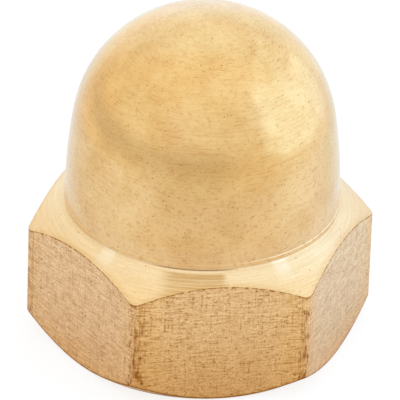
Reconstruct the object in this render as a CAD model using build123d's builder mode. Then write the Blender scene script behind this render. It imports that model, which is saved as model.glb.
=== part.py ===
from build123d import *
from math import atan2, cos, degrees, radians, tan
import os

# A domed cap nut of the M8 size, turned in one piece from hexagonal brass bar.
# Lengths are in millimetres and angles in degrees.
# The origin is the middle of the seat face, and +Z runs along the axis towards the dome.

# Hexagonal bar
flat_count = 6
across_flats = 13.0
bar_corner_radius = 0.5

# Lengths along the axis
overall_height = 15.0
hexagon_height = 6.1

# Turned ends of the hexagon: the seat below, the sloping collar under the dome above
seat_inset = 0.1
seat_chamfer_angle = 39.0
collar_width = 0.61
collar_angle = 38.0

# Dome: a narrow land at its foot, a small ledge, then a side that starts upright
land_height = 0.22
ledge_width = 0.02
foot_fillet_radius = 0.08
dome_side_radius = 25.7

# Blind hole, drilled to the core of the thread and countersunk at its mouth
thread_diameter = 8.0
thread_pitch = 1.25
countersink_margin = 0.2
countersink_angle = 120.0
drill_point_angle = 118.0
crown_wall = 2.0

# Cutting and turning stock reaches this far past the finished shape
overrun = 1.0

# Radii worked out from the sizes above
corner_reach = across_flats / 2 / cos(radians(180 / flat_count))
stock_radius = corner_reach + overrun
seat_radius = across_flats / 2 - seat_inset
foot_radius = across_flats / 2 - collar_width
side_foot_radius = foot_radius - ledge_width
core_radius = (thread_diameter - thread_pitch) / 2
mouth_radius = thread_diameter / 2 + countersink_margin

# The crown is a ball centred on the axis, and it runs on smoothly from the side arc
land_top = hexagon_height + land_height
side_foot_height = land_top + ledge_width
dome_height = overall_height - side_foot_height
crown_radius = (
    2 * dome_side_radius * side_foot_radius - side_foot_radius**2 - dome_height**2
) / (2 * (dome_side_radius - dome_height))
crown_centre_rise = dome_height - crown_radius
side_sweep = degrees(atan2(crown_centre_rise, dome_side_radius - side_foot_radius))

# Heights where the turned slopes leave the stock
seat_chamfer_top = (stock_radius - seat_radius) * tan(radians(seat_chamfer_angle))
collar_bottom = hexagon_height - (stock_radius - foot_radius) * tan(radians(collar_angle))

# Depths of the hole, measured up from the seat
point_length = core_radius / tan(radians(drill_point_angle / 2))
point_height = overall_height - crown_wall
shoulder_height = point_height - point_length
countersink_slope = tan(radians(countersink_angle / 2))
countersink_depth = (mouth_radius - core_radius) / countersink_slope
mouth_overrun_radius = mouth_radius + overrun * countersink_slope

with BuildPart() as cap_nut:
    # Turned outline: seat, chamfer, collar, land and dome in one half section
    with BuildSketch(Plane.XZ) as turned_section:
        with BuildLine():
            Polyline(
                (0, overall_height),
                (0, 0),
                (seat_radius, 0),
                (stock_radius, seat_chamfer_top),
                (stock_radius, collar_bottom),
                (foot_radius, hexagon_height),
                (foot_radius, land_top),
                (side_foot_radius, side_foot_height),
            )
            side = JernArc((side_foot_radius, side_foot_height), (0, 1), dome_side_radius, side_sweep)
            RadiusArc(side @ 1, (0, overall_height), -crown_radius)
        make_face()
        foot = turned_section.vertices().sort_by_distance((foot_radius, hexagon_height))[0]
        fillet(foot, radius=foot_fillet_radius)
    revolve(axis=Axis.Z)

    # The bar's six flats and rounded corners trim the turned blank
    with BuildSketch() as bar_section:
        RegularPolygon(across_flats / 2, flat_count, major_radius=False)
        fillet(bar_section.vertices(), radius=bar_corner_radius)
    extrude(amount=overall_height, mode=Mode.INTERSECT)

    # Blind hole with its countersunk mouth and drill point
    with BuildSketch(Plane.XZ):
        with BuildLine():
            Polyline(
                (0, -overrun),
                (mouth_overrun_radius, -overrun),
                (core_radius, countersink_depth),
                (core_radius, shoulder_height),
                (0, point_height),
                close=True,
            )
        make_face()
    revolve(axis=Axis.Z, mode=Mode.SUBTRACT)

cap_nut.part.label = "cap_nut"
os.makedirs("parts", exist_ok=True)
export_step(cap_nut.part, "parts/cap_nut.step")
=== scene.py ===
from math import atan2, cos, pi, radians, sin, tan

import bpy
import numpy as np
from mathutils import Matrix, Vector


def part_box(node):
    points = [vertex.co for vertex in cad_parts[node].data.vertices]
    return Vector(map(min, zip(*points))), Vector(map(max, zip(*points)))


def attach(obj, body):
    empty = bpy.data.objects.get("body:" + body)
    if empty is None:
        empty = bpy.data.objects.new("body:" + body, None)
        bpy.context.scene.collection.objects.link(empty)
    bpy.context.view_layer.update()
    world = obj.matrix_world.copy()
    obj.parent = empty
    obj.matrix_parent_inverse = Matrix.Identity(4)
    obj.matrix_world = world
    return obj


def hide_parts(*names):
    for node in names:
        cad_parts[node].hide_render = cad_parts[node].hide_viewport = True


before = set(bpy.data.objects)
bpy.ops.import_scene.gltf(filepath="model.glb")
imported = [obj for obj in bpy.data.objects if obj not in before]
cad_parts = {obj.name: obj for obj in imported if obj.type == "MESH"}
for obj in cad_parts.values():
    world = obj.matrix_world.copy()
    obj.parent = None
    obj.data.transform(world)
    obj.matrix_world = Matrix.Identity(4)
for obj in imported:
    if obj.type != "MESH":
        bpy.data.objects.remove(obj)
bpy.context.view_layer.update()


# Hexagonal bar
# The nut is cut from drawn brass rod with six flats and slightly rounded corners.
# Every ring of the mesh takes its columns from the bar's section, close together where a corner turns.
mm = 0.001
nut_low, nut_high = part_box("cap_nut")
flat_count = 6
flat_turn = 360 / flat_count
front_angle = -90
flat_reach = nut_high.y
bar_corner_radius = 0.5 * mm
flat_steps = 60
corner_steps = 10
side_steps = flat_steps + corner_steps
flat_half = (flat_reach - bar_corner_radius) * tan(radians(flat_turn / 2))
side_length = 2 * flat_half + bar_corner_radius * radians(flat_turn)

bar_points = []
bar_places = []
for side in range(flat_count):
    flat_angle = radians(flat_turn * side + front_angle)
    outward = Vector((cos(flat_angle), sin(flat_angle)))
    onward = Vector((-sin(flat_angle), cos(flat_angle)))
    for step in range(flat_steps):
        across = flat_half * (2 * step / flat_steps - 1)
        bar_points.append(outward * flat_reach + onward * across)
        bar_places.append(side * side_length + across)
    corner_centre = outward * (flat_reach - bar_corner_radius) + onward * flat_half
    for step in range(corner_steps):
        turn = radians(flat_turn * step / corner_steps)
        bar_points.append(corner_centre + (outward * cos(turn) + onward * sin(turn)) * bar_corner_radius)
        bar_places.append(side * side_length + flat_half + bar_corner_radius * turn)
bar_points = np.array(bar_points)
bar_places = np.array(bar_places)
bar_reach = np.hypot(bar_points[:, 0], bar_points[:, 1])
bar_angle = np.arctan2(bar_points[:, 1], bar_points[:, 0])


# Seat and its chamfer
# The bar end is faced flat to clamp on a washer, and a 39 degree chamfer takes the corners back.
# Each edge that the lathe tool leaves is rounded by a few hundredths of a millimetre.
seat_radius = 6.4 * mm
seat_chamfer_slope = tan(radians(39))
seat_ring_radius = 5.0 * mm
edge_radius = 0.05 * mm
edge_margin = 0.02 * mm


def ring(radius, height):
    """One row of the outline: a radius and a height for each column of the bar."""
    radius, height, _ = np.broadcast_arrays(radius, height, bar_reach)
    return np.stack((radius, height), axis=1)


def unit(steps_between):
    """The same steps with a length of one."""
    return steps_between / np.linalg.norm(steps_between, axis=1, keepdims=True)


def eased(before, corner, after, radius, steps):
    """Rows that round the corner between two straight runs of the outline."""
    back = unit(before - corner)
    on = unit(after - corner)
    half_angle = np.arccos(np.clip((back * on).sum(axis=1, keepdims=True), -1, 1)) / 2
    centre = corner + unit(back + on) * radius / np.sin(half_angle)
    start = corner + back * radius / np.tan(half_angle) - centre
    end = corner + on * radius / np.tan(half_angle) - centre
    sweep = pi - 2 * half_angle
    rows = []
    for share in np.linspace(0, 1, steps + 1):
        swung = np.sin(sweep * (1 - share)) * start + np.sin(sweep * share) * end
        rows.append(centre + swung / np.sin(sweep))
    return rows


def straight(first, last, steps):
    """Rows of a straight run, with one close to each end to keep the shading flat in between."""
    margin = edge_margin / np.linalg.norm(last - first, axis=1, keepdims=True)
    shares = [margin + (1 - 2 * margin) * step / steps for step in range(steps + 1)]
    return [first + (last - first) * share for share in shares]


chamfer_top = (bar_reach - seat_radius) * seat_chamfer_slope
seat_inner = ring(seat_ring_radius, 0)
seat_edge = ring(seat_radius, 0)
chamfer_edge = ring(bar_reach, chamfer_top)
seat_round = eased(seat_inner, seat_edge, chamfer_edge, edge_radius, steps=4)
seat_rows = [seat_inner, (seat_inner + seat_round[0]) / 2] + seat_round


# Flats
# The six sides keep the dull skin of the drawing die: a weave of fine draw lines, brown specks,
# and dark stains that gather along the corners, heaviest on the side that faces the viewer.
collar_slope = tan(radians(38))
hexagon_height = 6.1 * mm
foot_radius = 5.89 * mm
arc_edge_radius = 0.035 * mm

collar_edge = ring(bar_reach, hexagon_height - (bar_reach - foot_radius) * collar_slope)
foot_edge = ring(foot_radius, hexagon_height)
chamfer_round = eased(seat_edge, chamfer_edge, collar_edge, edge_radius, steps=4)
collar_round = eased(chamfer_edge, collar_edge, foot_edge, arc_edge_radius, steps=6)
chamfer_rows = straight(seat_round[-1], chamfer_round[0], steps=4)
flat_rows = chamfer_round + straight(chamfer_round[-1], collar_round[0], steps=16) + collar_round


def put(tree, kind, inputs=None, **settings):
    """Adds a shader node; each input is a plain value or the output of another node."""
    node = tree.nodes.new(kind)
    for name, value in settings.items():
        setattr(node, name, value)
    for name, value in (inputs or {}).items():
        if isinstance(value, bpy.types.NodeSocket):
            tree.links.new(value, node.inputs[name])
        else:
            node.inputs[name].default_value = value
    return node


def carried(tree, name):
    """The three numbers that each point of the mesh carries under a name."""
    return put(tree, "ShaderNodeAttribute", attribute_name=name).outputs["Vector"]


def parts(tree, vector):
    """The three numbers of a vector, one by one."""
    return put(tree, "ShaderNodeSeparateXYZ", {"Vector": vector}).outputs


def sums(tree, operation, first, second):
    """Arithmetic on two numbers of a finish."""
    return put(tree, "ShaderNodeMath", {0: first, 1: second}, operation=operation).outputs[0]


def times(tree, *values):
    """The product of several numbers of a finish."""
    product = values[0]
    for value in values[1:]:
        product = sums(tree, "MULTIPLY", product, value)
    return product


def most(tree, *values):
    """The largest of several numbers of a finish."""
    largest = values[0]
    for value in values[1:]:
        largest = sums(tree, "MAXIMUM", largest, value)
    return largest


def between(tree, amount, first, second):
    """A number between two others."""
    return put(tree, "ShaderNodeMix", {0: amount, 2: first, 3: second}).outputs[0]


def fade(tree, value, start, end, to_start=0.0, to_end=1.0):
    """A soft step from one number to another as the value goes from start to end."""
    limits = {"Value": value, "From Min": start, "From Max": end, "To Min": to_start, "To Max": to_end}
    return put(tree, "ShaderNodeMapRange", limits, interpolation_type="SMOOTHSTEP").outputs["Result"]


def line_at(tree, distance, place, width):
    """A soft line where a distance comes near to one value."""
    off_line = sums(tree, "ABSOLUTE", sums(tree, "SUBTRACT", distance, place), 0.0)
    return fade(tree, off_line, width, width / 4)


def tint(tree, amount, first, second):
    """A colour between two others."""
    return put(tree, "ShaderNodeMix", {0: amount, 6: first, 7: second}, data_type="RGBA").outputs[2]


def shaded(tree, amount, colour, shade):
    """A colour darkened through a filter colour, by an amount from none to all of it."""
    mix = {0: amount, 6: colour, 7: shade}
    return put(tree, "ShaderNodeMix", mix, data_type="RGBA", blend_type="MULTIPLY").outputs[2]


def stretched(tree, place, stretch):
    """A place drawn out by a different amount along each direction."""
    return put(tree, "ShaderNodeVectorMath", {0: place, 1: stretch}, operation="MULTIPLY").outputs[0]


def grain(tree, place, stretch, detail=2.0, roughness=0.5):
    """Noise drawn out by a different amount along each direction of the place."""
    marks = {"Scale": 1.0, "Detail": detail, "Roughness": roughness}
    marks["Vector"] = stretched(tree, place, stretch)
    return put(tree, "ShaderNodeTexNoise", marks).outputs["Fac"]


def specks(tree, place, stretch, rarity, size, softness):
    """Small spots, at most one to a cell, that differ in size; rarity is the share of empty cells."""
    cells = {"Vector": stretched(tree, place, stretch), "Scale": 1.0}
    cells = put(tree, "ShaderNodeTexVoronoi", cells).outputs
    share = put(tree, "ShaderNodeSeparateColor", {"Color": cells["Color"]}).outputs["Red"]
    reach = fade(tree, share, rarity, 1.0, 0.0, size)
    inside = sums(tree, "SUBTRACT", reach, cells["Distance"])
    return fade(tree, inside, 0.0, softness)


def brass_finish(name):
    """A new material for a worked brass surface, with its nodes and its shader."""
    material = bpy.data.materials.new(name)
    material.use_nodes = True
    shader = material.node_tree.nodes["Principled BSDF"]
    shader.inputs["Metallic"].default_value = 1.0
    return material, material.node_tree, shader


def surfaced(tree, shader, colour, roughness, height, strength, depth):
    """Gives a finish its colour, its roughness and marks of a depth in metres."""
    bump = put(tree, "ShaderNodeBump", {"Strength": strength, "Distance": depth, "Height": height})
    tree.links.new(colour, shader.inputs["Base Color"])
    tree.links.new(roughness, shader.inputs["Roughness"])
    tree.links.new(bump.outputs["Normal"], shader.inputs["Normal"])


drawn_brass, tree, shader = brass_finish("drawn_brass")
shader.inputs["Coat Weight"].default_value = 0.2
shader.inputs["Coat Roughness"].default_value = 0.4
flat_straw = (1.0, 0.71, 0.35, 1)
flat_cream = (0.98, 0.725, 0.41, 1)
flat_pale = (0.955, 0.765, 0.46, 1)
grain_shade = (0.75, 0.62, 0.48, 1)
painted_lower_shade = (0.88, 0.815, 0.68, 1)
corner_shade = (1.02, 0.985, 0.84, 1)
flat_brown = (0.42, 0.17, 0.01, 1)
flat_stain = (0.31, 0.085, 0.0, 1)
cleaner_side = 0.35
stained_side = 0.95
bar_place = put(tree, "ShaderNodeUVMap", uv_map="bar").outputs["UV"]
up_the_bar = parts(tree, bar_place)["Y"]
from_corner, stained, from_arc = parts(tree, carried(tree, "bar_marks"))
corner_stain, above_chamfer, _ = parts(tree, carried(tree, "bar_wear"))


def by_side(elsewhere, in_front):
    """A number that is one thing on the cleaner sides and another on the stained front side."""
    return fade(tree, stained, cleaner_side, stained_side, elsewhere, in_front)


draw_lines = grain(tree, bar_place, (10.0, 0.9, 1.0), detail=2.0)
cross_lines = grain(tree, bar_place, (1.0, 8.0, 1.0), detail=3.0, roughness=0.6)
fine_grain = grain(tree, bar_place, (12.0, 14.0, 1.0), detail=3.0, roughness=0.65)
short_grain = grain(tree, bar_place, (6.0, 13.0, 1.0), detail=2.0, roughness=0.6)
dash_lines = grain(tree, bar_place, (2.0, 11.0, 1.0), detail=2.0)
blotches = grain(tree, bar_place, (2.6, 1.8, 1.0), detail=4.0, roughness=0.65)
clouds = grain(tree, bar_place, (0.8, 0.7, 1.0), detail=3.0)
edge_noise = grain(tree, bar_place, (5.0, 5.0, 1.0), detail=4.0, roughness=0.65)
drips = grain(tree, bar_place, (6.5, 1.6, 1.0), detail=4.0, roughness=0.65)

front_share = by_side(0.0, 1.0)
lines = between(tree, times(tree, front_share, 0.45), cross_lines, draw_lines)
weave = between(tree, by_side(0.4, 0.5), fine_grain, lines)
handled = sums(tree, "MINIMUM", above_chamfer, from_corner)
handled = times(tree, fade(tree, sums(tree, "SUBTRACT", handled, clouds), 0.9, -0.3), 0.75)
skin = tint(tree, fade(tree, stained, 0.2, cleaner_side), flat_pale, flat_cream)
skin = tint(tree, most(tree, front_share, handled), skin, flat_straw)
skin = shaded(tree, fade(tree, weave, 0.62, 0.38), skin, grain_shade)
blotched = times(tree, fade(tree, blotches, 0.52, 0.36), by_side(0.36, 0.22))
skin = shaded(tree, blotched, skin, grain_shade)
# Painted shade: the flats darken towards their lower edge, most on the front flat.
painted_lower_shade_amount = times(tree, fade(tree, up_the_bar, 5.0, 0.3), by_side(0.25, 1.0))
skin = shaded(tree, painted_lower_shade_amount, skin, painted_lower_shade)

near_corner = times(tree, fade(tree, from_corner, 2.0, 0.3), corner_stain)
skin = shaded(tree, times(tree, near_corner, front_share), skin, corner_shade)
mark_share = fade(tree, stained, 0.2, 1.0, 0.6, 1.0)
crossings = sums(tree, "ADD", times(tree, draw_lines, 0.9), times(tree, dash_lines, 1.1))
dotted = fade(tree, fine_grain, 0.37, 0.53)
crossings = times(tree, fade(tree, crossings, 1.06, 1.22), dotted, 0.8)
toothed = times(tree, fade(tree, short_grain, 0.56, 0.68), fade(tree, clouds, 0.36, 0.6, 0.4, 1.0), 0.7)
dashed = times(tree, fade(tree, dash_lines, 0.58, 0.72), fade(tree, clouds, 0.4, 0.58), dotted, 0.6)
upright = times(tree, fade(tree, draw_lines, 0.54, 0.7), fade(tree, clouds, 0.6, 0.42, 0.2, 1.0), dotted)
upright = times(tree, upright, front_share, 0.5)
by_corner = sums(tree, "ADD", dash_lines, times(tree, near_corner, 0.12))
by_corner = times(tree, near_corner, fade(tree, by_corner, 0.59, 0.73), dotted, 0.9)
up_lines = times(tree, fade(tree, from_corner, 1.2, 0.3), fade(tree, draw_lines, 0.52, 0.66))
up_lines = times(tree, up_lines, corner_stain, 0.5)
dirt_and_foot_shadow = times(tree, most(tree, crossings, toothed, dashed, upright), mark_share)
dirt_and_foot_shadow = most(tree, dirt_and_foot_shadow, by_corner, up_lines)
# Dark brown lines along the arc and along the foot edge; the line at the foot is painted contact shadow.
ragged_arc = sums(tree, "ADD", from_arc, fade(tree, edge_noise, 0.3, 0.7, 0.0, 0.12))
ragged_foot_shadow = sums(tree, "ADD", above_chamfer, fade(tree, edge_noise, 0.3, 0.7, 0.0, 0.05))
arc_line_and_foot_shadow = most(tree, fade(tree, ragged_arc, 0.14, 0.04), fade(tree, ragged_foot_shadow, 0.14, 0.04))
dirt_and_foot_shadow = most(tree, dirt_and_foot_shadow, arc_line_and_foot_shadow)
skin = tint(tree, dirt_and_foot_shadow, skin, flat_brown)

soak = sums(tree, "ADD", times(tree, drips, 0.6), times(tree, blotches, 0.4))
pooled = fade(tree, up_the_bar, 4.4, 1.2, 0.7, 1.1)
at_corner = times(tree, fade(tree, from_corner, 0.75, 0.1), corner_stain, pooled, 0.17)
soak = sums(tree, "ADD", soak, at_corner)
soaked = times(tree, fade(tree, from_corner, 0.9, 0.45), fade(tree, soak, 0.58, 0.72), 0.88)
wandering = sums(tree, "ADD", from_corner, fade(tree, edge_noise, 0.3, 0.7, -0.04, 0.04))
corner_line = line_at(tree, wandering, by_side(0.45, 0.27), 0.05)
corner_line = times(tree, corner_line, corner_stain, fade(tree, blotches, 0.4, 0.6, 0.1, 0.8))
spots = specks(tree, bar_place, (3.4, 5.0, 1.0), rarity=0.25, size=0.24, softness=0.1)
stain = most(tree, soaked, corner_line, times(tree, spots, 0.75))
skin = tint(tree, stain, skin, flat_stain)
skin_roughness = fade(tree, dirt_and_foot_shadow, 0.0, 1.0, 0.4, 0.55)
skin_height = sums(tree, "SUBTRACT", weave, sums(tree, "ADD", times(tree, dirt_and_foot_shadow, 0.5), stain))
surfaced(tree, shader, skin, skin_roughness, skin_height, strength=0.3, depth=0.005 * mm)


# Collar
# Above the flats the bar is turned to a 38 degree cone, so the bright collar meets each flat in a curve.
# The lathe tool leaves fine rings on it and a small fillet at the dome's foot. Painted highlights lie on it
# as two pale radial bands, painted shade dulls its far right, and under the dome in front a brown band
# streaked along the rings is a painted dark reflection, beside a painted shadow line in the crease.
foot_fillet_radius = 0.08 * mm
land_height = 0.22 * mm

land_edge = ring(foot_radius, hexagon_height + land_height)
foot_round = eased(collar_edge, foot_edge, land_edge, foot_fillet_radius, steps=5)
collar_rows = straight(collar_round[-1], foot_round[0], steps=10) + foot_round

turned_brass, tree, shader = brass_finish("turned_brass")
shader.inputs["Coat Weight"].default_value = 0.5
shader.inputs["Coat Roughness"].default_value = 0.3
collar_pale = (0.938, 0.731, 0.431, 1)
collar_gold = (0.923, 0.665, 0.339, 1)
ring_shade = (0.905, 0.87, 0.79, 1)
collar_warm = (0.83, 0.555, 0.245, 1)
collar_painted_shade_right = (0.955, 0.925, 0.93, 1)
collar_painted_highlight = (0.96, 0.83, 0.58, 1)
collar_tan = (0.56, 0.31, 0.08, 1)
collar_brown = (0.2, 0.06, 0.0, 1)
highlight_angles = (-138.5, -64.5)
dark_fan_left = -112.0
dark_fan_right = -90.5
turning = carried(tree, "turning")
from_crease = parts(tree, carried(tree, "bar_marks"))["Z"]
from_arc = parts(tree, carried(tree, "bar_wear"))["Z"]
metal_place = put(tree, "ShaderNodeTexCoord").outputs["Object"]


def along(tree, direction, axis):
    """How far a direction points along an axis, from -1 to 1."""
    product = put(tree, "ShaderNodeVectorMath", {0: direction, 1: axis}, operation="DOT_PRODUCT")
    return product.outputs["Value"]


def facing(tree, turning, angle):
    """How far a place on the turned metal faces an angle round the axis, from -1 to 1."""
    return along(tree, turning, (cos(radians(angle)), sin(radians(angle)), 0))


def sector(tree, turning, angle, edge, middle):
    """A soft sector of the turned metal: an angle round the axis, and degrees to its edge and middle."""
    return fade(tree, facing(tree, turning, angle), cos(radians(edge)), cos(radians(middle)))


tool_rings = grain(tree, turning, (3.0, 3.0, 24.0), detail=3.0, roughness=0.65)
dark_fan_rings = grain(tree, turning, (1.4, 1.4, 21.0), detail=3.0, roughness=0.6)
fine_grain = grain(tree, metal_place, (9000.0, 9000.0, 9000.0), detail=2.0, roughness=0.6)
rings = sums(tree, "ADD", times(tree, tool_rings, 0.7), times(tree, fine_grain, 0.3))
gold = tint(tree, fade(tree, from_crease, 0.1, 1.5), collar_pale, collar_gold)
by_crease = times(tree, fade(tree, from_crease, 0.3, 0.05), 0.3)
by_arc = times(tree, fade(tree, from_arc, 0.35, 0.05), 0.6)
gold = tint(tree, most(tree, by_crease, by_arc), gold, collar_warm)
gold = shaded(tree, fade(tree, rings, 0.6, 0.4), gold, ring_shade)
# Painted shade: the collar is darker at its far right.
gold = shaded(tree, sector(tree, turning, -10.0, 36, 14), gold, collar_painted_shade_right)
# Painted highlights: two pale radial bands across the turning marks.
for angle in highlight_angles:
    painted_highlight = times(tree, sector(tree, turning, angle, 4.6, 0), 0.8, fade(tree, from_crease, 1.1, 0.2))
    painted_highlight = times(tree, painted_highlight, fade(tree, tool_rings, 0.4, 0.6, 0.6, 1.0))
    gold = tint(tree, painted_highlight, gold, collar_painted_highlight)

# Painted dark reflection: a brown band streaked along the rings under the dome in front.
feathered = times(tree, dark_fan_rings, 7.0)
turned_x, turned_y, _ = parts(tree, turning)
dark_fan_angle = times(tree, sums(tree, "ARCTAN2", turned_y, turned_x), 180 / pi)
dark_fan_start = fade(tree, sums(tree, "ADD", dark_fan_angle, feathered), dark_fan_left, dark_fan_left + 8.0)
dark_fan_stop = fade(tree, sums(tree, "SUBTRACT", dark_fan_angle, feathered), dark_fan_right, dark_fan_right - 3.5)
dark_fan_depth = times(tree, fade(tree, from_crease, 0.1, 0.24), fade(tree, from_crease, 0.25, 0.6, 1.0, 0.75))
painted_dark_fan = times(tree, dark_fan_start, dark_fan_stop, dark_fan_depth)
streaks = fade(tree, dark_fan_rings, 0.4, 0.6, 0.45, 0.95)
gold = tint(tree, times(tree, painted_dark_fan, streaks), gold, collar_tan)
spots = specks(tree, metal_place, (3600.0, 3600.0, 3600.0), rarity=0.6, size=0.14, softness=0.06)
# Painted shadow: a dark brown line in the crease at the dome's foot, on the front only.
crease_shadow_line = times(tree, fade(tree, from_crease, 0.05, 0.015), sector(tree, turning, -101.0, 20, 9), 0.7)
dark = most(tree, times(tree, spots, 0.8), crease_shadow_line)
gold = tint(tree, dark, gold, collar_brown)
ring_roughness = fade(tree, rings, 0.3, 0.7, 0.36, 0.27)
ring_height = sums(tree, "SUBTRACT", rings, dark)
surfaced(tree, shader, gold, ring_roughness, ring_height, strength=0.15, depth=0.003 * mm)


# Dome
# A narrow land and a tiny ledge at the foot, then a long side arc that runs on into a ball crown.
# The dome is turned and lightly polished: broken tool rings, small pits and cloudy tone are left in it.
land_top = hexagon_height + land_height
ledge_width = 0.02 * mm
ledge_round_radius = 0.015 * mm
dome_side_radius = 25.7 * mm
side_foot_radius = foot_radius - ledge_width
side_foot_height = land_top + ledge_width
dome_height = nut_high.z - side_foot_height
crown_radius = 2 * dome_side_radius * side_foot_radius - side_foot_radius**2 - dome_height**2
crown_radius /= 2 * (dome_side_radius - dome_height)
crown_centre = nut_high.z - crown_radius
side_sweep = atan2(crown_centre - side_foot_height, dome_side_radius - side_foot_radius)
first_side_share = 0.012
side_row_count = 24
crown_steps = 52

ledge_edge = ring(side_foot_radius, side_foot_height)
side_top = ring(side_foot_radius, crown_centre)
land_round = eased(foot_edge, land_edge, ledge_edge, ledge_round_radius, steps=3)
ledge_round = eased(land_edge, ledge_edge, side_top, ledge_round_radius, steps=3)
dome_rows = straight(foot_round[-1], land_round[0], steps=2) + land_round + ledge_round
for share in np.linspace(first_side_share, 1, side_row_count):
    rise = side_sweep * share
    side_radius = side_foot_radius - dome_side_radius * (1 - cos(rise))
    dome_rows.append(ring(side_radius, side_foot_height + dome_side_radius * sin(rise)))
for rise in np.linspace(side_sweep, pi / 2, crown_steps + 1)[1:-1]:
    dome_rows.append(ring(crown_radius * cos(rise), crown_centre + crown_radius * sin(rise)))

polished_brass, tree, shader = brass_finish("polished_brass")
shader.inputs["Coat Weight"].default_value = 0.7
shader.inputs["Coat Roughness"].default_value = 0.28
dome_gold = (0.88, 0.59, 0.235, 1)
dome_tan = (0.79, 0.485, 0.16, 1)
dome_pale = (0.97, 0.78, 0.48, 1)
dome_shade = (1.0, 0.96, 0.92, 1)
dome_brown = (0.47, 0.17, 0.0, 1)
dome_dark = (0.2, 0.06, 0.0, 1)
ledge_place = (crown_radius * (pi / 2 - side_sweep) + dome_side_radius * side_sweep) / mm
turning = carried(tree, "turning")
down_the_dome = parts(tree, turning)["Z"]
metal_place = put(tree, "ShaderNodeTexCoord").outputs["Object"]

clouds = grain(tree, metal_place, (480.0, 480.0, 480.0), detail=6.0, roughness=0.7)
patches = grain(tree, metal_place, (290.0, 290.0, 290.0), detail=2.0)
mottle = grain(tree, metal_place, (5200.0, 5200.0, 8200.0), detail=3.0, roughness=0.65)
long_rings = grain(tree, turning, (2.6, 2.6, 9.0), detail=2.0)
fine_rings = grain(tree, turning, (4.5, 4.5, 20.0), detail=2.0, roughness=0.6)
hair_rings = grain(tree, turning, (7.0, 7.0, 26.0), detail=2.0)
gold = tint(tree, fade(tree, clouds, 0.34, 0.66), dome_tan, dome_gold)
by_foot = fade(tree, down_the_dome, ledge_place - 1.1, ledge_place - 0.1)
gold = tint(tree, times(tree, by_foot, 0.17), gold, dome_pale)
low_in_front = times(tree, sector(tree, turning, -95.0, 42, 14), fade(tree, down_the_dome, 7.5, 9.5))
gold = shaded(tree, low_in_front, gold, dome_shade)
# Painted highlight: a pale line along the ledge, on the dome's right side only.
ledge_line = line_at(tree, down_the_dome, ledge_place, 0.04)
painted_ledge_highlight = times(tree, sector(tree, turning, -44.0, 40, 26), ledge_line, 0.5)
gold = tint(tree, painted_ledge_highlight, gold, dome_pale)

long_scored = times(tree, fade(tree, long_rings, 0.5, 0.66), fade(tree, patches, 0.42, 0.6), 0.15)
fine_scored = times(tree, fade(tree, fine_rings, 0.54, 0.68), fade(tree, clouds, 0.64, 0.4, 0.25, 1.0))
fine_scored = times(tree, fine_scored, 0.36)
hair_scored = times(tree, fade(tree, hair_rings, 0.58, 0.74), fade(tree, patches, 0.6, 0.4, 0.3, 1.0), 0.6)
scored = times(tree, most(tree, fine_scored, hair_scored), fade(tree, down_the_dome, 9.5, 7.0, 0.55, 1.0))
mottled = times(tree, fade(tree, mottle, 0.5, 0.72), fade(tree, down_the_dome, 7.0, 9.5, 0.32, 0.45))
gold = tint(tree, most(tree, long_scored, scored, mottled), gold, dome_brown)
pits = specks(tree, metal_place, (4600.0, 4600.0, 4600.0), rarity=0.5, size=0.18, softness=0.09)
pits = times(tree, pits, fade(tree, patches, 0.55, 0.4, 0.2, 0.75))
pinholes = specks(tree, metal_place, (7000.0, 7000.0, 8200.0), rarity=0.25, size=0.27, softness=0.14)
pinholes = times(tree, pinholes, fade(tree, clouds, 0.56, 0.42, 0.2, 0.75))
on_shoulder = fade(tree, facing(tree, turning, -40.0), 0.6, 0.95, 0.1, 0.65)
on_shoulder = times(tree, on_shoulder, fade(tree, down_the_dome, 9.0, 6.5, 0.2, 1.0))
dashes = specks(tree, turning, (6.0, 6.0, 15.0), rarity=0.6, size=0.3, softness=0.12)
dashes = times(tree, dashes, on_shoulder, fade(tree, mottle, 0.4, 0.55))
pitted = most(tree, pits, pinholes, dashes)
gold = tint(tree, pitted, gold, dome_dark)
dome_roughness = fade(tree, clouds, 0.3, 0.7, 0.22, 0.17)
worn = sums(tree, "ADD", times(tree, long_rings, 0.3), times(tree, fine_rings, 0.4))
dome_surface = sums(tree, "SUBTRACT", worn, pitted)
surfaced(tree, shader, gold, dome_roughness, dome_surface, strength=0.2, depth=0.003 * mm)


# Tapped hole
# A blind core hole with a countersunk mouth, a drill point at its end and a right-hand thread
# of 1.25 mm pitch, cut by a tap that runs out before the drill's shoulder.
thread_radius = 4.0 * mm
thread_pitch = 1.25 * mm
groove_half_width = 0.439 * mm
groove_flank_width = 0.361 * mm
core_radius = 3.375 * mm
mouth_radius = 4.2 * mm
mouth_slope = tan(radians(60))
mouth_margin = 0.3 * mm
point_height = 13.0 * mm
shoulder_height = point_height - core_radius / tan(radians(59))
full_thread_height = 9.0 * mm
runout_length = 1.0 * mm
point_steps = 9
bore_steps = 121
hole_angle = bar_angle[::2]

hole_rows = []
for share in np.linspace(0, 1, point_steps + 1)[1:]:
    radius = np.full(len(hole_angle), core_radius * share)
    height = point_height + (shoulder_height - point_height) * share
    hole_rows.append(np.stack(np.broadcast_arrays(radius, height), axis=1))
for height in np.linspace(shoulder_height, 0, bore_steps + 1)[1:]:
    turns = height / thread_pitch - hole_angle / (2 * pi)
    from_groove = np.abs(turns - np.floor(turns) - 0.5) * thread_pitch
    groove = np.clip((groove_half_width - from_groove) / groove_flank_width, 0, 1)
    groove *= np.clip(1 - (height - full_thread_height) / runout_length, 0, 1)
    radius = core_radius + (thread_radius - core_radius) * groove
    radius = np.maximum(radius, mouth_radius - height * mouth_slope)
    hole_rows.append(np.stack(np.broadcast_arrays(radius, height), axis=1))
hole_rows.append(hole_rows[-1] + (mouth_margin, 0))

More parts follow.
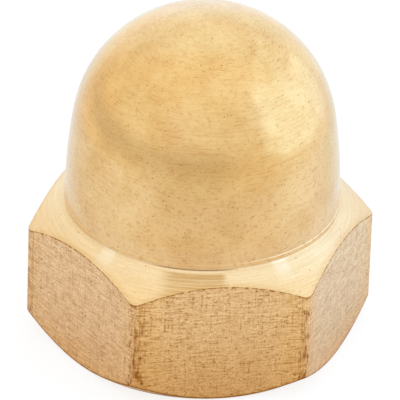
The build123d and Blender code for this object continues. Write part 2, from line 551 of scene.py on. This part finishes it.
tapped_brass, tree, shader = brass_finish("tapped_brass")
tapped_gold = (0.72, 0.46, 0.19, 1)
tapped_brown = (0.4, 0.23, 0.09, 1)
tap_marks = grain(tree, carried(tree, "turning"), (3.0, 3.0, 14.0), detail=3.0, roughness=0.6)
tapped_colour = tint(tree, fade(tree, tap_marks, 0.4, 0.7), tapped_gold, tapped_brown)
tapped_roughness = fade(tree, tap_marks, 0.3, 0.7, 0.3, 0.45)
surfaced(tree, shader, tapped_colour, tapped_roughness, tap_marks, strength=0.3, depth=0.005 * mm)


# Nut in one piece
# Hole, seat, flats, collar and dome are one skin, joined ring to ring from the drill point to the crown.
# It stands for the CAD nut and carries the marks that the finishes read: turning rings and bar faces.
finishes = [drawn_brass, turned_brass, polished_brass, tapped_brass]
drawn, turned, polished, tapped = range(len(finishes))
stain_of_side = np.array((1.0, 0.2, 0.5, 0.6, 0.45, 0.35))
stain_at_start = np.array((0.88, 0.1, 0.5, 0.6, 0.4, 0.7))
stain_at_end = np.array((0.7, 0.2, 0.4, 0.7, 0.5, 0.35))
side_stain_blend = 0.3
corner_stain_blend = 0.4
side_map_gap = 20
far_off = 4
off_bar_marks = (far_off, 0, far_off)
off_bar_wear = (0, far_off, far_off)
hole_columns = len(hole_angle)
columns = len(bar_angle)

outer_rows = seat_rows + chamfer_rows + flat_rows + collar_rows + dome_rows
row_finish = [turned] * len(seat_rows + chamfer_rows) + [drawn] * len(flat_rows)
row_finish += [turned] * len(collar_rows) + [polished] * len(dome_rows)
point_rows = []
carried_rows = {"turning": [], "bar_marks": [], "bar_wear": []}


def placed(row, angle):
    """The points of one ring in space."""
    return np.stack((row[:, 0] * np.cos(angle), row[:, 0] * np.sin(angle), row[:, 1]), axis=1)


def turned_place(angle, length):
    """Where a ring's points are for the tool marks: round the axis, and along the outline in mm."""
    return np.stack((np.cos(angle), np.sin(angle), length / mm), axis=1)


def add_ring(ring_points, ring_turning, ring_marks=off_bar_marks, ring_wear=off_bar_wear):
    """Adds one ring of points to the skin, with what each point carries for the finishes."""
    point_rows.append(ring_points)
    for name, values in zip(carried_rows, (ring_turning, ring_marks, ring_wear)):
        carried_rows[name].append(np.broadcast_to(values, (len(ring_points), 3)))


add_ring([(0, 0, point_height)], (1, 0, 0))
for row in hole_rows:
    add_ring(placed(row, hole_angle), turned_place(hole_angle, row[:, 1] - row[:, 0]))

row_lengths = [np.linalg.norm(row - after, axis=1) for row, after in zip(outer_rows, outer_rows[1:])]
row_lengths.append(np.linalg.norm(outer_rows[-1] - ring(0, nut_high.z), axis=1))
side_of_column = (np.arange(columns) + corner_steps // 2) // side_steps % flat_count
side_place = (bar_places + side_length / 2) % side_length
corner_distance = np.minimum(side_place, side_length - side_place) / mm
near_start = side_place < side_length / 2
side_beyond = np.where(near_start, side_of_column - 1, side_of_column + 1) % flat_count
own_share = np.clip(0.5 + corner_distance / side_stain_blend, 0.5, 1)
column_stain = stain_of_side[side_of_column] * own_share + stain_of_side[side_beyond] * (1 - own_share)
own_stain = np.where(near_start, stain_at_start[side_of_column], stain_at_end[side_of_column])
stain_beyond = np.where(near_start, stain_at_end[side_beyond], stain_at_start[side_beyond])
own_share = np.clip(corner_distance / corner_stain_blend, 0, 1)
column_corner_stain = own_stain * own_share + np.maximum(own_stain, stain_beyond) * (1 - own_share)
for index, row in enumerate(outer_rows):
    crease = collar_edge if row_finish[index] == drawn else foot_edge
    crease_distance = np.linalg.norm(row - crease, axis=1) / mm
    chamfer_distance = np.linalg.norm(row - chamfer_edge, axis=1) / mm
    arc_distance = np.linalg.norm(row - collar_edge, axis=1) / mm
    row_turning = turned_place(bar_angle, np.sum(row_lengths[index:], axis=0))
    row_marks = np.stack((corner_distance, column_stain, crease_distance), axis=1)
    row_wear = np.stack((column_corner_stain, chamfer_distance, arc_distance), axis=1)
    add_ring(placed(row, bar_angle), row_turning, row_marks, row_wear)
add_ring([(0, 0, nut_high.z)], (1, 0, 0))

faces = []
face_finish = []
first_outer = 1 + len(hole_rows) * hole_columns
mouth = first_outer - hole_columns
last_outer = first_outer + (len(outer_rows) - 1) * columns
for column in range(hole_columns):
    after = (column + 1) % hole_columns
    faces.append((0, 1 + after, 1 + column))
    face_finish.append(tapped)
    for start in range(1, mouth, hole_columns):
        above = start + hole_columns
        faces.append((start + column, start + after, above + after, above + column))
        face_finish.append(tapped)
    seat_ring = (first_outer + 2 * after, first_outer + 2 * column + 1, first_outer + 2 * column)
    faces.append((mouth + column, mouth + after, *seat_ring))
    face_finish.append(turned)
for column in range(columns):
    after = (column + 1) % columns
    faces.append((last_outer + column, last_outer + after, last_outer + columns))
    face_finish.append(polished)
bar_uv = np.zeros((sum(len(face) for face in faces), 2)).tolist()
for column in range(columns):
    after = (column + 1) % columns
    side = (column + corner_steps // 2) // side_steps
    here = (bar_places[column] - side * side_length) / mm + side_map_gap * (side % flat_count)
    there = here + (bar_places[after] - bar_places[column]) % (flat_count * side_length) / mm
    for index in range(len(outer_rows) - 1):
        start = first_outer + index * columns
        above = start + columns
        faces.append((start + column, start + after, above + after, above + column))
        face_finish.append(row_finish[index + 1])
        low = outer_rows[index][:, 1] / mm
        high = outer_rows[index + 1][:, 1] / mm
        bar_uv += [(here, low[column]), (there, low[after]), (there, high[after]), (here, high[column])]

nut_mesh = bpy.data.meshes.new("brass_cap_nut")
nut_mesh.from_pydata(np.concatenate(point_rows), [], faces)
for finish in finishes:
    nut_mesh.materials.append(finish)
nut_mesh.polygons.foreach_set("material_index", face_finish)
nut_mesh.polygons.foreach_set("use_smooth", [True] * len(faces))
bar_map = nut_mesh.uv_layers.new(name="bar")
bar_map.data.foreach_set("uv", np.ravel(bar_uv))
for name, values in carried_rows.items():
    marks = nut_mesh.attributes.new(name, "FLOAT_VECTOR", "POINT")
    marks.data.foreach_set("vector", np.ravel(np.concatenate(values)))
nut_mesh.update()

nut = bpy.data.objects.new("brass_cap_nut", nut_mesh)
bpy.context.scene.collection.objects.link(nut)
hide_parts("cap_nut")
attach(nut, "root")


# Floor
# A round sheet of white card under the nut. The lens sees it white, with a faint soft shadow.
# The metal sees matt card, darker where the nut shades it, with painted shade towards the lens, faint
# painted tints behind it, and painted pools of bluish light glowing on it at both sides.
card_radius = 36 * mm
card_corners = 96
card_gap = 0.02 * mm
lens_glow = 0.8
white = (1, 1, 1, 1)
card_to_lens = (0.25, 0.25, 0.25, 1)
card_painted_shade_near_lens = (0.88, 0.84, 0.85, 1)
card_by_nut = (0.975, 0.94, 0.945, 1)
card_behind = (0.975, 0.955, 0.905, 1)
card_right_behind = (0.975, 1.0, 0.945, 1)
painted_spill_colour_left = (0.58, 1.05, 2.15, 1)
painted_spill_colour_right = (0.56, 0.97, 1.9, 1)

card_turns = np.arange(card_corners) * 2 * pi / card_corners
card_rim = [(card_radius * cos(turn), card_radius * sin(turn), 0) for turn in card_turns]
floor_mesh = bpy.data.meshes.new("white_card")
floor_mesh.from_pydata(card_rim, [], [tuple(range(card_corners))])
floor = bpy.data.objects.new("white_card", floor_mesh)
bpy.context.scene.collection.objects.link(floor)
floor.location.z = nut_low.z - card_gap

white_card = bpy.data.materials.new("white_card")
white_card.use_nodes = True
tree = white_card.node_tree
tree.nodes.remove(tree.nodes["Principled BSDF"])
path = put(tree, "ShaderNodeLightPath").outputs
by_lens = most(tree, path["Is Camera Ray"], path["Is Transmission Ray"])
card_x, card_y, _ = parts(tree, put(tree, "ShaderNodeTexCoord").outputs["Object"])
# Painted light: for the metal, the front half of the card glows in bluish pools at the left and the right.
near_side = times(tree, fade(tree, card_y, 9 * mm, -5 * mm), path["Is Glossy Ray"])
painted_light_right = fade(tree, card_x, 7 * mm, 34 * mm, 0.0, 0.3)
painted_light_left = fade(tree, card_x, -13 * mm, -32 * mm, 0.0, 0.24)
painted_spill = times(tree, near_side, most(tree, painted_light_right, painted_light_left))
glow = sums(tree, "ADD", times(tree, by_lens, lens_glow), painted_spill)
glow_colour = tint(tree, fade(tree, card_x, -2 * mm, 2 * mm), painted_spill_colour_left, painted_spill_colour_right)
glow_colour = tint(tree, by_lens, glow_colour, white)
# Painted shade: for the metal, the card is darker towards the lens, with faint tints by the nut and behind
# it.
matt = tint(tree, fade(tree, card_y, -29 * mm, -12 * mm), card_painted_shade_near_lens, card_by_nut)
matt = tint(tree, fade(tree, card_y, -2 * mm, 10 * mm), matt, card_behind)
right_behind = times(tree, fade(tree, card_y, 0.0, 10 * mm), fade(tree, card_x, 2 * mm, 14 * mm))
matt = tint(tree, right_behind, matt, card_right_behind)
matt = tint(tree, by_lens, matt, card_to_lens)
glowing = put(tree, "ShaderNodeEmission", {"Color": glow_colour, "Strength": glow})
matt_card = put(tree, "ShaderNodeBsdfDiffuse", {"Color": matt})
both = put(tree, "ShaderNodeAddShader", {0: glowing.outputs[0], 1: matt_card.outputs[0]})
tree.links.new(both.outputs[0], tree.nodes["Material Output"].inputs["Surface"])
floor_mesh.materials.append(white_card)


# Light tent
# White cloth stands all round the nut, brightest behind it, with a dim band at the front and left
# and faint warm and cool tints, as cloth takes them from a room.
# A bank of softboxes leans at the right and gives the dome its bright patch.
plain_level = 1.0
soft_level = 0.95
band_drop = 0.02
band_depth = 0.27
band_tint = 3.6
low_front_depth = 0.11
straw_cloth = (0.985, 0.91, 0.775, 1)
cream_cloth = (1.0, 0.97, 0.9, 1)
low_cloth = (0.95, 1.01, 1.02, 1)
high_blue_cloth = (0.98, 1.08, 1.26, 1)
deep_blue_cloth = (0.98, 1.12, 1.38, 1)
pale_blue_cloth = (1.0, 1.07, 1.12, 1)
dull_blue_cloth = (0.94, 1.04, 1.13, 1)
band_cloth = (1.06, 1.01, 0.98, 1)
above_band_cloth = (1.0, 1.015, 1.15, 1)
front_roof_cloth = (0.98, 1.01, 1.05, 1)
right_roof_cloth = (1.01, 1.06, 1.17, 1)
tent = bpy.data.worlds.new("light_tent")
tent.use_nodes = True
bpy.context.scene.world = tent
tree = tent.node_tree
background = tree.nodes["Background"]
direction = put(tree, "ShaderNodeTexCoord").outputs["Generated"]
upward = parts(tree, direction)["Z"]


def patch(azimuth, elevation, edge, middle, to_edge=0.0, to_middle=1.0):
    """A soft round patch of the cloth about one direction; azimuth counts from the front to the right."""
    level = cos(radians(elevation))
    axis = (sin(radians(azimuth)) * level, -cos(radians(azimuth)) * level, sin(radians(elevation)))
    return fade(tree, along(tree, direction, axis), edge, middle, to_edge, to_middle)


cloth = sums(tree, "ADD", plain_level, patch(165, 20, 0.6, 1.0, 0.0, 0.12))
cloth = sums(tree, "ADD", cloth, fade(tree, upward, 0.5, 1.0, 0.0, 0.1))
off_band = sums(tree, "ABSOLUTE", sums(tree, "ADD", upward, band_drop), 0.0)
band_width = patch(-20, 0, -0.3, 0.6, 0.2, 0.3)
dim_band = times(tree, fade(tree, off_band, band_width, 0.04), patch(-55, 0, -0.15, 0.6), band_depth)
cloth = sums(tree, "SUBTRACT", cloth, dim_band)
low_front = times(tree, fade(tree, upward, -0.1, -0.22), patch(-22, -14, 0.67, 0.98), low_front_depth)
cloth = sums(tree, "SUBTRACT", cloth, low_front)
path = put(tree, "ShaderNodeLightPath").outputs
mirrored = most(tree, path["Is Glossy Ray"], path["Is Transmission Ray"])
strength = between(tree, mirrored, soft_level, cloth)
strength = between(tree, path["Is Camera Ray"], strength, plain_level)
tree.links.new(strength, background.inputs["Strength"])

low_behind = times(tree, patch(172, -15, 0.7, 0.95), fade(tree, upward, 0.05, -0.15))
above_band = times(tree, fade(tree, upward, 0.0, 0.16), patch(-12, 20, 0.76, 0.94))
cloth_tints = (
    (patch(-125, 0, 0.84, 0.985), straw_cloth),
    (patch(-125, 33, 0.9, 0.985), cream_cloth),
    (low_behind, low_cloth),
    (patch(170, 45, 0.6, 1.0), high_blue_cloth),
    (patch(172, 14, 0.93, 0.995), deep_blue_cloth),
    (patch(133, 0, 0.955, 0.995), pale_blue_cloth),
    (patch(147, 14, 0.96, 0.995), dull_blue_cloth),
    (times(tree, dim_band, band_tint), band_cloth),
    (above_band, above_band_cloth),
    (patch(15, 45, 0.7, 0.95), front_roof_cloth),
    (patch(40, 35, 0.88, 0.98), right_roof_cloth),
    (path["Is Camera Ray"], white),
)
cloth_colour = white
for amount, cloth_tint in cloth_tints:
    cloth_colour = tint(tree, amount, cloth_colour, cloth_tint)
tree.links.new(cloth_colour, background.inputs["Color"])

bank_height = 8 * mm
bank_distance = 0.6
bank_lean = -14
lamp_cool = (0.44, 1.0, 2.05)
lamp_paler = (0.44, 1.0, 1.95)
lamp_palest = (0.44, 1.0, 1.9)
lamp_bank = Matrix.Translation((0, 0, bank_height)) @ Matrix.Rotation(radians(90), 4, "Z")
lamp_bank = lamp_bank @ Matrix.Rotation(radians(90), 4, "X") @ Matrix.Translation((0, 0, bank_distance))
lamp_bank = lamp_bank @ Matrix.Rotation(radians(bank_lean), 4, "Z")


def softbox(name, left, right, bottom, top, brightness, colour):
    """One strip of the lamp bank, between two places across it and two heights."""
    lamp = bpy.data.lights.new(name, "AREA")
    lamp.shape = "RECTANGLE"
    lamp.size = right - left
    lamp.size_y = top - bottom
    lamp.energy = brightness * pi * lamp.size * lamp.size_y
    lamp.color = colour
    holder = bpy.data.objects.new(name, lamp)
    bpy.context.scene.collection.objects.link(holder)
    holder.matrix_world = lamp_bank @ Matrix.Translation(((left + right) / 2, (bottom + top) / 2, 0))
    holder.visible_camera = False


softbox("softbox_front", -0.555, -0.2, -0.14, 0.62, brightness=0.44, colour=lamp_cool)
softbox("softbox_middle", -0.2, 0.13, -0.1, 0.48, brightness=0.42, colour=lamp_cool)
softbox("softbox_back", 0.13, 0.46, -0.06, 0.36, brightness=0.36, colour=lamp_paler)
softbox("softbox_above", -0.52, 0.5, 0.4, 0.82, brightness=0.14, colour=lamp_palest)
softbox("softbox_below", -0.3, 0.46, -0.3, -0.08, brightness=0.14, colour=lamp_palest)


# Camera
# A long lens a quarter of a metre away looks down on the nut from the front, a little from the left.
# It is rolled by two degrees and aimed so that the nut fills the frame, as in the photograph.
camera_azimuth = -8.69
camera_elevation = 31.6
camera_roll = 1.96
camera_distance = 0.2537
aim_height = 5.934 * mm
aim_to_left = 0.078 * mm
lens = bpy.data.cameras.new("photo_camera")
lens.sensor_width = 36
lens.lens = 534.5
lens.clip_start = 0.01
lens.clip_end = 10
camera = bpy.data.objects.new("photo_camera", lens)
bpy.context.scene.collection.objects.link(camera)
camera_turn = radians(camera_azimuth)
aim_point = Vector((0, 0, aim_height))
aim_point -= Vector((cos(camera_turn), sin(camera_turn), 0)) * aim_to_left
camera_place = Matrix.Translation(aim_point) @ Matrix.Rotation(camera_turn, 4, "Z")
camera_place = camera_place @ Matrix.Rotation(radians(90 - camera_elevation), 4, "X")
camera_place = camera_place @ Matrix.Rotation(radians(camera_roll), 4, "Z")
camera.matrix_world = camera_place @ Matrix.Translation((0, 0, camera_distance))
bpy.context.scene.camera = camera
bpy.context.scene.view_settings.view_transform = "Standard"

bpy.context.view_layer.update()
